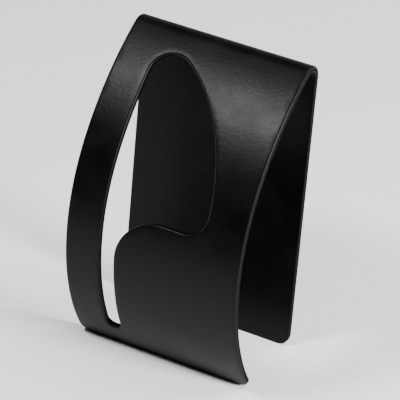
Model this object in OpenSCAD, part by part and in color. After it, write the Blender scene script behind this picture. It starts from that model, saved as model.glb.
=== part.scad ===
// Eyeglasses display stand: one strip of sheet metal, folded over at the top so that a
// straight back leg and a rolled front leg stand on their lower edges. One cut-out in the
// front leg leaves a rounded tab, a narrow slot beside it and an open window above it.
// +X right, -Y front, +Z up, millimetres. The origin is under the middle of the footprint.

/* [Sheet] */
// Width of the strip
sheet_w = 65; // [60:0.5:72]
// Thickness of the sheet, coating included
sheet_t = 2; // [1.5:0.1:3]
// Height of the fold above the table
stand_h = 103.5; // [100:0.5:107]
// Radius of the four foot corners
foot_corner_r = 4; // [2:0.5:8]

/* [Bends, radii on the outer face] */
// Radius of the fold at the top
fold_r = 5; // [4:0.25:7]
// Radius of the gently curved upper front
shoulder_r = 96; // [90:1:110]
// Length of the upper front, along the sheet
shoulder_len = 42; // [38:1:46]
// Radius of the rounder lower front
belly_r = 69; // [66:0.5:72]
// Slope of the front leg where it meets the fold, from upright
crest_slope = 62; // [58:0.5:66]
// Lean of the back leg, from upright
back_lean = 9; // [6:0.5:12]

/* [Cut-out, measured along the outer face from the front foot] */
// Width of the strap left standing at the left
strap_w = 13.1; // [10:0.1:16]
// Width of the slot beside the tab
slot_w = 5.4; // [4.5:0.1:7]
// Lower end of the slot
slot_low = 10.2; // [7:0.1:14]
// Top edge of the tab
tab_top = 59.4; // [55:0.1:62]
// Radius of the tab's free corner
tab_r = 17; // [12:0.5:18]
// Radius of the window's lower right corner
window_low_r = 8; // [5:0.5:9]
// Level of the widest part of the window
window_wide = 66; // [65:0.5:67]
// Margin between the widest part of the window and the right edge
window_margin = 14.2; // [12:0.1:17]
// Radius of the window's long right side
window_side_r = 57; // [55:0.5:60]
// Radius of the window's top left corner
window_top_r = 7.5; // [6:0.25:8]

/* [Hidden] */
$fn = 96;
coat_black = [0.05, 0.05, 0.05];
// How far a cutter stands proud of the face it cuts
clear = 0.6;
// Flats that stand for each bend
belly_facets = 48;
shoulder_facets = 16;
fold_facets = 32;
// Spare length at both feet, cut off level with the table
past = 8;
// Rows across a cutter
slot_end_rows = 8;
slot_rows = 24;
window_rows = 56;
// How far the slot's cutter carries on into the window
slot_past = 1;
// How far short of its true end each round-ended cutter stops
tip = 0.01;
// How far a corner cutter reaches past the foot, and how far its round runs off the edges
corner_past = 3;
corner_ease = 0.05;

// Angles say where an outer normal points in the side view: 0 is to the front, 90 is up.
fold_back = 180 + back_lean;
crest_mid = crest_slope - shoulder_len / shoulder_r * 180 / PI;
function out(a) = [-cos(a), sin(a)];

// Bend centres in the side view, with the fold's centre on the Z axis
fold_c = [0, stand_h - fold_r];
shoulder_c = fold_c - (shoulder_r - fold_r) * out(crest_slope);
belly_c = shoulder_c + (shoulder_r - belly_r) * out(crest_mid);
foot_angle = -asin(belly_c[1] / belly_r);
belly_len = belly_r * (crest_mid - foot_angle) * PI / 180;
// Back leg: from the end of the fold straight down to the table
back_top = fold_c + fold_r * out(fold_back);
back_len = back_top[1] / cos(back_lean);

// The footprint runs from the front of the belly to the back of the fold
front_y = belly_c[0] - belly_r;
rear_y = fold_c[0] + fold_r;
mid_y = (front_y + rear_y) / 2;

// Side view position of a point on the front leg: s along the outer face, d below it
function normal_at(s) = s < belly_len
    ? foot_angle + s / belly_r * 180 / PI
    : crest_mid + (s - belly_len) / shoulder_r * 180 / PI;
function on_front(s, d) = s < belly_len
    ? belly_c + (belly_r - d) * out(normal_at(s))
    : shoulder_c + (shoulder_r - d) * out(normal_at(s));

// Cut-out in the flat sheet: x across, s up from the front foot
slot_l = -sheet_w / 2 + strap_w;
slot_r = slot_l + slot_w;
slot_end_c = [slot_l + slot_w / 2, slot_low + slot_w / 2];
tab_c = [slot_r + tab_r, tab_top - tab_r];
side_c = [sheet_w / 2 - window_margin - window_side_r, window_wide];
low_s = tab_top + window_low_r;
low_c = [side_c[0] + sqrt(pow(window_side_r - window_low_r, 2) - pow(low_s - window_wide, 2)), low_s];
top_x = slot_l + window_top_r;
top_c = [top_x, window_wide + sqrt(pow(window_side_r - window_top_r, 2) - pow(top_x - side_c[0], 2))];
window_top = top_c[1] + window_top_r;
// Where the corner arcs run into the long right side
low_end = low_c[1] + window_low_r * (low_c[1] - side_c[1]) / norm(low_c - side_c);
top_start = top_c[1] + window_top_r * (top_c[1] - side_c[1]) / norm(top_c - side_c);

// Half width of a circle at a height above its centre
function half(r, h) = sqrt(max(0, r * r - h * h));

function slot_left(s) = s < slot_end_c[1]
    ? slot_end_c[0] - half(slot_w / 2, s - slot_end_c[1])
    : slot_l;
function slot_right(s) = s < slot_end_c[1]
    ? slot_end_c[0] + half(slot_w / 2, s - slot_end_c[1])
    : s < tab_c[1] ? slot_r : tab_c[0] - half(tab_r, s - tab_c[1]);
function window_left(s) = s < top_c[1]
    ? slot_l
    : top_c[0] - half(window_top_r, s - top_c[1]);
function window_right(s) = s < low_end
    ? low_c[0] + half(window_low_r, s - low_c[1])
    : s < top_start
        ? side_c[0] + half(window_side_r, s - side_c[1])
        : top_c[0] + half(window_top_r, s - top_c[1]);

// Rows from a to b, closer together at both ends
function rows(a, b, n) = [for (i = [0:n]) a + (b - a) * (1 - cos(180 * i / n)) / 2];

// The four corners of a cutter at one row: left and right outside the sheet, right and left inside
function row_points(s, xl, xr) = [
    for (c = [[xl, -clear], [xr, -clear], [xr, sheet_t + clear], [xl, sheet_t + clear]])
        let (p = on_front(s, c[1])) [c[0], p[0], p[1]]
];

// One band of triangles between two rows of four points
function band(i) = [
    for (k = [0:3])
        let (a = 4 * i + k, b = 4 * i + (k + 1) % 4)
            for (f = [[a, b + 4, b], [a, a + 4, b + 4]]) f
];

module cutter(points) {
    n = len(points) / 4;
    faces = concat(
        [[0, 1, 2, 3]],
        [for (i = [0:n - 2]) for (f = band(i)) f],
        [[for (k = [3:-1:0]) 4 * (n - 1) + k]]
    );
    polyhedron(points = points, faces = faces, convexity = 6);
}

module slot_cutter() {
    lower = rows(slot_low + tip, slot_end_c[1], slot_end_rows);
    upper = [for (i = [1:slot_rows]) slot_end_c[1] + (tab_top - slot_end_c[1]) * i / slot_rows];
    cutter(concat(
        [for (s = concat(lower, upper)) for (p = row_points(s, slot_left(s), slot_right(s))) p],
        row_points(tab_top + slot_past, slot_l, tab_c[0])
    ));
}

module window_cutter() {
    cutter([
        for (s = rows(tab_top, window_top - tip, window_rows))
            for (p = row_points(s, window_left(s), window_right(s))) p
    ]);
}

// Points along one bend in the side view, between two angles
function arc(c, r, a0, a1, n) = [for (k = [0:n]) c + r * out(a0 + (a1 - a0) * k / n)];

// The whole strip in the side view, at a depth below the outer face
function face(d) = concat(
    arc(belly_c, belly_r - d, foot_angle - past / belly_r * 180 / PI, crest_mid, belly_facets),
    arc(shoulder_c, shoulder_r - d, crest_mid, crest_slope, shoulder_facets),
    arc(fold_c, fold_r - d, crest_slope, fold_back, fold_facets),
    [back_top - d * out(fold_back) - (back_len + past) * [sin(back_lean), cos(back_lean)]]
);

// The strip runs a little past the table and is cut level there, so both feet sit flat
module side_view() {
    inner = face(sheet_t);
    difference() {
        polygon(concat(face(0), [for (k = [len(inner) - 1:-1:0]) inner[k]]));
        translate([-stand_h, -2 * past]) square([2 * stand_h, 2 * past]);
    }
}

// Everything outside one rounded foot corner, through both legs
module corner_cutter(side) {
    block = foot_corner_r + corner_past;
    rotate([90, 0, 0])
        translate([side * (sheet_w / 2 - foot_corner_r + corner_ease), -corner_ease, -stand_h])
            linear_extrude(2 * stand_h)
                difference() {
                    translate([side > 0 ? 0 : -block, -corner_past])
                        square([block, foot_corner_r + corner_past]);
                    translate([0, foot_corner_r]) circle(foot_corner_r);
                }
}

module bent_sheet() {
    color(coat_black)
        translate([0, -mid_y, 0])
            difference() {
                rotate([90, 0, 90])
                    translate([0, 0, -sheet_w / 2])
                        linear_extrude(sheet_w) side_view();
                slot_cutter();
                window_cutter();
                for (side = [-1, 1]) corner_cutter(side);
            }
}

bent_sheet();
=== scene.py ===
"""Looks of the eyeglasses display stand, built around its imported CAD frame.

The stand is one strip of sheet metal in a satin black powder coat. It is laid out flat here, as
it is cut before bending, with softly rounded edges, and then rolled and folded into its shape.
Flat coordinates: x across, s along the outer face up from the front foot, d below that face.
"""

import math

import bmesh
import bpy
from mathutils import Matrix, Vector
from mathutils.geometry import delaunay_2d_cdt


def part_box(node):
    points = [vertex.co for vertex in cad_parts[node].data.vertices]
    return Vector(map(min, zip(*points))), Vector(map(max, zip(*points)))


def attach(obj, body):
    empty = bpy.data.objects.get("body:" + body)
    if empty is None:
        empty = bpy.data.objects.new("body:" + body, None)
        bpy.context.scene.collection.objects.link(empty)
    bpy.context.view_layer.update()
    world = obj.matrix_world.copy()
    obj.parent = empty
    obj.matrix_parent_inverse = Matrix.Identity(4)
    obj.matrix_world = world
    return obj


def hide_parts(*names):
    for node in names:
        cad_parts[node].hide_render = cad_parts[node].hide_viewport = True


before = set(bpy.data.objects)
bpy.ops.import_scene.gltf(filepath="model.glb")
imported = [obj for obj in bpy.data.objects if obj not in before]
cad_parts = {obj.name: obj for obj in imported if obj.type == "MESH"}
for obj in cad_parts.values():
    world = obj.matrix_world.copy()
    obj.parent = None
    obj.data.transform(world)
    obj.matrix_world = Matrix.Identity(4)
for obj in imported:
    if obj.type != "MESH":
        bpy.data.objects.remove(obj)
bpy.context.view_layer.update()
low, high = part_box("bent_sheet")

MM = 0.001

# Sizes of the strip as in the CAD model: lengths in millimetres, angles in radians
SHEET_W = (high[0] - low[0]) / MM
STAND_H = high[2] / MM
SHEET_T = 2.0
FOOT_CORNER_R = 4.0
FOLD_R = 5.0
SHOULDER_R = 96.0
SHOULDER_LEN = 42.0
BELLY_R = 69.0
CREST_SLOPE = math.radians(62)
BACK_LEAN = math.radians(9)

# Cut-out in the flat sheet
STRAP_W = 13.1
SLOT_W = 5.4
SLOT_LOW = 10.2
TAB_TOP = 59.4
TAB_R = 17.0
WINDOW_LOW_R = 8.0
WINDOW_WIDE = 66.0
WINDOW_MARGIN = 14.2
WINDOW_SIDE_R = 57.0
WINDOW_TOP_R = 7.5

# Rounding of the coated edges, at the outer and at the inner face
OUTER_EDGE_R = 0.7
INNER_EDGE_R = 0.35
# Length over which the strip's ends are sheared so that they stand flat
FOOT_BLEND = 9.0

# Fineness of the mesh: steps round an edge, grid inside a face, step along an outline
EDGE_STEPS = 4
GRID = 1.5
OUTLINE_STEP = 0.8
ARC_STEPS_MIN = 6
# Grid rows over the fold, and the gap left in the ordinary grid beside them
FOLD_ROWS = 16
FOLD_GAP = 0.5
# Nearest that a grid point comes to an outline, and when two points count as one
GRID_CLEAR = 0.55 * GRID
SAME_POINT = 1e-6

QUARTER = math.pi / 2


# --- Side view ------------------------------------------------------------------------------


def out(a):
    """Outward direction in the side view (y, z): 0 points to the front, 90 degrees points up."""
    return Vector((-math.cos(a), math.sin(a)))


CREST_MID = CREST_SLOPE - SHOULDER_LEN / SHOULDER_R
FOLD_BACK = math.pi + BACK_LEAN
FOLD_C = Vector((0, STAND_H - FOLD_R))
SHOULDER_C = FOLD_C - (SHOULDER_R - FOLD_R) * out(CREST_SLOPE)
BELLY_C = SHOULDER_C + (SHOULDER_R - BELLY_R) * out(CREST_MID)
FOOT_ANGLE = -math.asin(BELLY_C.y / BELLY_R)
BELLY_LEN = BELLY_R * (CREST_MID - FOOT_ANGLE)
FOLD_START = BELLY_LEN + SHOULDER_LEN
BACK_START = FOLD_START + FOLD_R * (FOLD_BACK - CREST_SLOPE)
BACK_TOP = FOLD_C + FOLD_R * out(FOLD_BACK)
BACK_LEN = BACK_TOP.y / math.cos(BACK_LEAN)
STRIP_LEN = BACK_START + BACK_LEN
MID_Y = (BELLY_C.x - BELLY_R + FOLD_R) / 2
# Slope of each foot's level cut across the sheet's thickness
FRONT_SHEAR = math.tan(-FOOT_ANGLE)
BACK_SHEAR = math.tan(BACK_LEAN)


def side_point(s, d):
    """Side view position (y, z) at s along the strip, d below its outer face."""
    if s < BELLY_LEN:
        return BELLY_C + (BELLY_R - d) * out(FOOT_ANGLE + s / BELLY_R)
    if s < FOLD_START:
        return SHOULDER_C + (SHOULDER_R - d) * out(CREST_MID + (s - BELLY_LEN) / SHOULDER_R)
    if s < BACK_START:
        return FOLD_C + (FOLD_R - d) * out(CREST_SLOPE + (s - FOLD_START) / FOLD_R)
    up = Vector((math.sin(BACK_LEAN), math.cos(BACK_LEAN)))
    return BACK_TOP - d * out(FOLD_BACK) - (s - BACK_START) * up


def bend(x, s, d):
    """Position in metres of a point of the flat strip."""
    from_back = STRIP_LEN - s
    if s < FOOT_BLEND:
        s -= d * FRONT_SHEAR * (1 - s / FOOT_BLEND)
    elif from_back < FOOT_BLEND:
        s += d * BACK_SHEAR * (1 - from_back / FOOT_BLEND)
    p = side_point(s, d)
    return Vector((x, p.x - MID_Y, max(p.y, 0))) * MM


# --- Flat outlines --------------------------------------------------------------------------


def arc(cx, cs, r, a0, a1):
    """Points along an arc between two angles, both ends included."""
    n = max(ARC_STEPS_MIN, math.ceil(abs(a1 - a0) * r / OUTLINE_STEP))
    angles = [a0 + (a1 - a0) * k / n for k in range(n + 1)]
    return [Vector((cx + r * math.cos(a), cs + r * math.sin(a))) for a in angles]


def joined(*runs):
    """One closed outline through all the runs, with straight stretches cut into short steps."""
    points = [p for run in runs for p in run]
    result = []
    for k, p in enumerate(points):
        q = points[(k + 1) % len(points)]
        n = max(1, math.ceil((q - p).length / OUTLINE_STEP))
        if (q - p).length > SAME_POINT:
            result += [p + (q - p) * i / n for i in range(n)]
    return result


def strip_outline():
    """The strip's outer edge, counter-clockwise, with its four rounded corners."""
    r = FOOT_CORNER_R
    x = SHEET_W / 2 - r
    top = STRIP_LEN - r
    corners = [(x, r, -QUARTER), (x, top, 0), (-x, top, QUARTER), (-x, r, 2 * QUARTER)]
    return joined(*(arc(cx, cs, r, a, a + QUARTER) for cx, cs, a in corners))


def window_outline():
    """The slot and the window together, clockwise so that the metal is on the left."""
    slot_l = -SHEET_W / 2 + STRAP_W
    slot_r = slot_l + SLOT_W
    slot_c = Vector((slot_l + SLOT_W / 2, SLOT_LOW + SLOT_W / 2))
    tab_c = Vector((slot_r + TAB_R, TAB_TOP - TAB_R))
    side_c = Vector((SHEET_W / 2 - WINDOW_MARGIN - WINDOW_SIDE_R, WINDOW_WIDE))
    low_s = TAB_TOP + WINDOW_LOW_R
    low_reach = WINDOW_SIDE_R - WINDOW_LOW_R
    low_c = Vector((side_c.x + math.sqrt(low_reach**2 - (low_s - side_c.y) ** 2), low_s))
    top_x = slot_l + WINDOW_TOP_R
    top_reach = WINDOW_SIDE_R - WINDOW_TOP_R
    top_c = Vector((top_x, side_c.y + math.sqrt(top_reach**2 - (top_x - side_c.x) ** 2)))
    low_a = math.atan2(low_c.y - side_c.y, low_c.x - side_c.x)
    top_a = math.atan2(top_c.y - side_c.y, top_c.x - side_c.x)
    counter_clockwise = joined(
        arc(slot_c.x, slot_c.y, SLOT_W / 2, -math.pi, 0),
        arc(tab_c.x, tab_c.y, TAB_R, math.pi, QUARTER),
        arc(low_c.x, low_c.y, WINDOW_LOW_R, -QUARTER, low_a),
        arc(side_c.x, side_c.y, WINDOW_SIDE_R, low_a, top_a),
        arc(top_c.x, top_c.y, WINDOW_TOP_R, top_a, math.pi),
    )
    return counter_clockwise[::-1]


def shrunk(outline, amount):
    """The outline moved into the metal, which lies on its left."""
    result = []
    for k, p in enumerate(outline):
        t = outline[(k + 1) % len(outline)] - outline[k - 1]
        result.append(p + amount * Vector((-t.y, t.x)).normalized())
    return result


# --- The bent sheet -------------------------------------------------------------------------


def next_round(outer, hole):
    """For each point of both outlines, the number of the point after it on its own outline."""
    n_out = len(outer)
    following = [(k + 1) % n_out for k in range(n_out)]
    return following + [n_out + (k + 1) % len(hole) for k in range(len(hole))]


def inside(p, outline):
    """True if a point is inside a closed outline."""
    crossed = False
    for k, a in enumerate(outline):
        b = outline[k - 1]
        if (a.y > p.y) != (b.y > p.y) and p.x < (b.x - a.x) * (p.y - a.y) / (b.y - a.y) + a.x:
            crossed = not crossed
    return crossed


def inner_grid(loops):
    """Grid points between the outlines' points, in closer rows over the tight fold."""
    columns = round(SHEET_W / GRID)
    rows = round(STRIP_LEN / GRID)
    grid = []
    for i in range(1, columns):
        for j in range(1, rows):
            p = Vector((-SHEET_W / 2 + SHEET_W * i / columns, STRIP_LEN * j / rows))
            in_fold = FOLD_START - FOLD_GAP < p.y < BACK_START + FOLD_GAP
            if not in_fold and min((p - q).length_squared for q in loops) > GRID_CLEAR**2:
                grid.append(p)
    for j in range(FOLD_ROWS + 1):
        s = FOLD_START + (BACK_START - FOLD_START) * j / FOLD_ROWS
        grid += [Vector((-SHEET_W / 2 + SHEET_W * i / columns, s)) for i in range(1, columns)]
    return grid


def face_mesh(outer, hole):
    """Points and triangles of one flat face, and where the outlines' points are among them."""
    loops = outer + hole
    points = loops + inner_grid(loops)
    edges = list(enumerate(next_round(outer, hole)))
    verts, _, faces, source, _, _ = delaunay_2d_cdt(points, edges, [], 0, SAME_POINT)
    place = {old: new for new, olds in enumerate(source) for old in olds}
    metal = []
    for f in faces:
        middle = sum((verts[v] for v in f), Vector((0, 0))) / len(f)
        if inside(middle, outer) and not inside(middle, hole):
            metal.append(f)
    return verts, metal, [place[k] for k in range(len(loops))]


def edge_turn(r):
    """Steps round one edge of the sheet, as (distance in from the outline, depth below the face)."""
    angles = [QUARTER * k / EDGE_STEPS for k in range(EDGE_STEPS + 1)]
    return [(r * (1 - math.sin(a)), r * (1 - math.cos(a))) for a in angles]


def add_face(bm, outer, hole, inset, depth):
    """One flat face of the sheet, bent. Returns the vertices along its outlines."""
    verts, faces, rim = face_mesh(shrunk(outer, inset), shrunk(hole, inset))
    bent = [bm.verts.new(bend(v.x, v.y, depth)) for v in verts]
    for f in faces:
        bm.faces.new([bent[v] for v in f])
    return [bent[v] for v in rim]


def bent_sheet():
    """The whole stand: outer face, rounded and cut edges in rings, and inner face."""
    outer = strip_outline()
    hole = window_outline()
    bm = bmesh.new()
    rings = [add_face(bm, outer, hole, OUTER_EDGE_R, 0)]
    walls = edge_turn(OUTER_EDGE_R)[1:] + [(0, SHEET_T / 2)]
    walls += [(inset, SHEET_T - depth) for inset, depth in reversed(edge_turn(INNER_EDGE_R)[1:])]
    for inset, depth in walls:
        loops = shrunk(outer, inset) + shrunk(hole, inset)
        rings.append([bm.verts.new(bend(p.x, p.y, depth)) for p in loops])
    rings.append(add_face(bm, outer, hole, INNER_EDGE_R, SHEET_T))
    following = next_round(outer, hole)
    for level, (a, b) in enumerate(zip(rings, rings[1:])):
        for k, nxt in enumerate(following):
            face = bm.faces.new([a[nxt], a[k], b[k], b[nxt]])
            # The flat of the cut edge, between the two rounded corners
            face.material_index = int(EDGE_STEPS <= level < EDGE_STEPS + 2)
    bmesh.ops.recalc_face_normals(bm, faces=bm.faces)
    mesh = bpy.data.meshes.new("bent_sheet_coated")
    bm.to_mesh(mesh)
    bm.free()
    for polygon in mesh.polygons:
        polygon.use_smooth = True
    piece = bpy.data.objects.new("bent_sheet_coated", mesh)
    bpy.context.collection.objects.link(piece)
    return piece


# --- Materials ------------------------------------------------------------------------------


def material(name):
    """A new node material, with its nodes, its links and its shader."""
    mat = bpy.data.materials.new(name)
    mat.use_nodes = True
    nodes = mat.node_tree.nodes
    return mat, nodes, mat.node_tree.links, nodes["Principled BSDF"]


def noise(nodes, links, where, scale, detail):
    """Noise fixed to the object, with about that many patches to a metre."""
    node = nodes.new("ShaderNodeTexNoise")
    node.inputs["Scale"].default_value = scale
    node.inputs["Detail"].default_value = detail
    links.new(where.outputs["Object"], node.inputs["Vector"])
    return node


def spread(nodes, links, source, lowest, highest):
    """The middle range of a noise, spread between two values."""
    node = nodes.new("ShaderNodeMapRange")
    node.inputs["From Min"].default_value = 0.3
    node.inputs["From Max"].default_value = 0.7
    node.inputs["To Min"].default_value = lowest
    node.inputs["To Max"].default_value = highest
    links.new(source, node.inputs["Value"])
    return node


def bump(nodes, links, source, strength, distance):
    """A bump with its height taken from a noise, and its distance in metres."""
    node = nodes.new("ShaderNodeBump")
    node.inputs["Strength"].default_value = strength
    node.inputs["Distance"].default_value = distance
    links.new(source.outputs["Fac"], node.inputs["Height"])
    return node


def tinted(nodes, links, source, shader, stops):
    """Base colour from a noise, through a ramp with two (position, colour) stops."""
    tone = nodes.new("ShaderNodeValToRGB")
    for element, (position, colour) in zip(tone.color_ramp.elements, stops):
        element.position = position
        element.color = (*colour, 1)
    links.new(source.outputs["Fac"], tone.inputs["Fac"])
    links.new(tone.outputs["Color"], shader.inputs["Base Color"])


def powder_coat(name, specular, glossiest, dullest):
    """Satin black powder coat: specular level, and the range of its roughness."""
    mat, nodes, links, shader = material(name)
    where = nodes.new("ShaderNodeTexCoord")
    peel = noise(nodes, links, where, scale=900, detail=3)
    grain = noise(nodes, links, where, scale=2600, detail=2)
    patches = noise(nodes, links, where, scale=120, detail=5)
    stops = [(0.35, (0.0012, 0.0012, 0.0013)), (0.7, (0.0022, 0.0022, 0.0023))]
    tinted(nodes, links, patches, shader, stops)
    gloss = spread(nodes, links, patches.outputs["Fac"], glossiest, dullest)
    links.new(gloss.outputs["Result"], shader.inputs["Roughness"])
    fine = bump(nodes, links, grain, strength=0.25, distance=0.00006)
    coarse = bump(nodes, links, peel, strength=0.35, distance=0.00012)
    links.new(fine.outputs["Normal"], coarse.inputs["Normal"])
    links.new(coarse.outputs["Normal"], shader.inputs["Normal"])
    shader.inputs["Specular IOR Level"].default_value = specular
    return mat


def paper():
    """Matt white paper for the studio sweep."""
    mat, nodes, links, shader = material("studio_paper")
    where = nodes.new("ShaderNodeTexCoord")
    fibres = noise(nodes, links, where, scale=60, detail=4)
    tinted(nodes, links, fibres, shader, [(0, (0.90, 0.90, 0.90)), (1, (0.93, 0.93, 0.93))])
    shader.inputs["Roughness"].default_value = 0.9
    return mat


# --- Stage, lights and camera ---------------------------------------------------------------


def floor():
    """A sweep, in metres: a level floor that curves up into a backdrop."""
    half_width = 3.0
    front = -2.0
    turn_start = 0.9
    turn_r = 0.6
    backdrop_h = 2.5
    steps = 16
    profile = [(front, 0.0)]
    for k in range(steps + 1):
        a = QUARTER * k / steps
        profile.append((turn_start + turn_r * math.sin(a), turn_r * (1 - math.cos(a))))
    profile.append((turn_start + turn_r, backdrop_h))
    verts = [(x, y, z) for y, z in profile for x in (-half_width, half_width)]
    faces = [(2 * k, 2 * k + 1, 2 * k + 3, 2 * k + 2) for k in range(len(profile) - 1)]
    mesh = bpy.data.meshes.new("studio_floor")
    mesh.from_pydata(verts, [], faces)
    for polygon in mesh.polygons:
        polygon.use_smooth = True
    mesh.materials.append(paper())
    obj = bpy.data.objects.new("studio_floor", mesh)
    bpy.context.collection.objects.link(obj)


def aimed(name, data, azimuth, elevation, distance, target):
    """Adds a light or camera, aimed at the target. Azimuth 0 is the front and 90 is the right."""
    a, e = math.radians(azimuth), math.radians(elevation)
    way = Vector((math.sin(a) * math.cos(e), -math.cos(a) * math.cos(e), math.sin(e)))
    obj = bpy.data.objects.new(name, data)
    obj.location = target + way * distance
    obj.rotation_euler = (-way).to_track_quat("-Z", "Y").to_euler()
    bpy.context.collection.objects.link(obj)
    return obj


def soft_light(name, azimuth, elevation, distance, size, power, target):
    """A rectangular area light, with its size in metres and its power in watts."""
    data = bpy.data.lights.new(name, "AREA")
    data.shape = "RECTANGLE"
    data.size, data.size_y = size
    data.energy = power
    aimed(name, data, azimuth, elevation, distance, target)


def lights():
    """Three soft lights, and a dim white surrounding."""
    middle = Vector((0, 0, STAND_H * MM / 2))
    # A small soft box near the upper front, seen there as a broad satin highlight
    soft_light("key", -47, 55, 0.40, (0.10, 0.04), 1.7, Vector((0.024, 0.004, 0.093)))
    # One low at the right, seen in the rounded right-hand edges
    soft_light("side", 86, 22, 0.9, (0.2, 0.2), 17, middle)
    # A large one behind at the right, for the floor
    soft_light("back", 128, 55, 1.6, (1.0, 1.0), 22, middle)
    world = bpy.data.worlds.new("studio_world")
    world.use_nodes = True
    background = world.node_tree.nodes["Background"]
    background.inputs["Color"].default_value = (1, 1, 1, 1)
    background.inputs["Strength"].default_value = 0.03
    bpy.context.scene.world = world


def camera():
    """The camera, in front at the right and above, with a long lens."""
    data = bpy.data.cameras.new("camera")
    data.sensor_width = 36
    data.lens = 275.77
    target = Vector((0.003605, 0, 0.054919))
    bpy.context.scene.camera = aimed("camera", data, 30.691, 34.315, 1.00355, target)


piece = bent_sheet()
coat = powder_coat("black_powder_coat", specular=0.12, glossiest=0.34, dullest=0.41)
edge_coat = powder_coat("black_coat_on_cut_edges", specular=0.02, glossiest=0.5, dullest=0.6)
piece.data.materials.append(coat)
piece.data.materials.append(edge_coat)
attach(piece, "root")
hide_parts("bent_sheet")

floor()
lights()
camera()
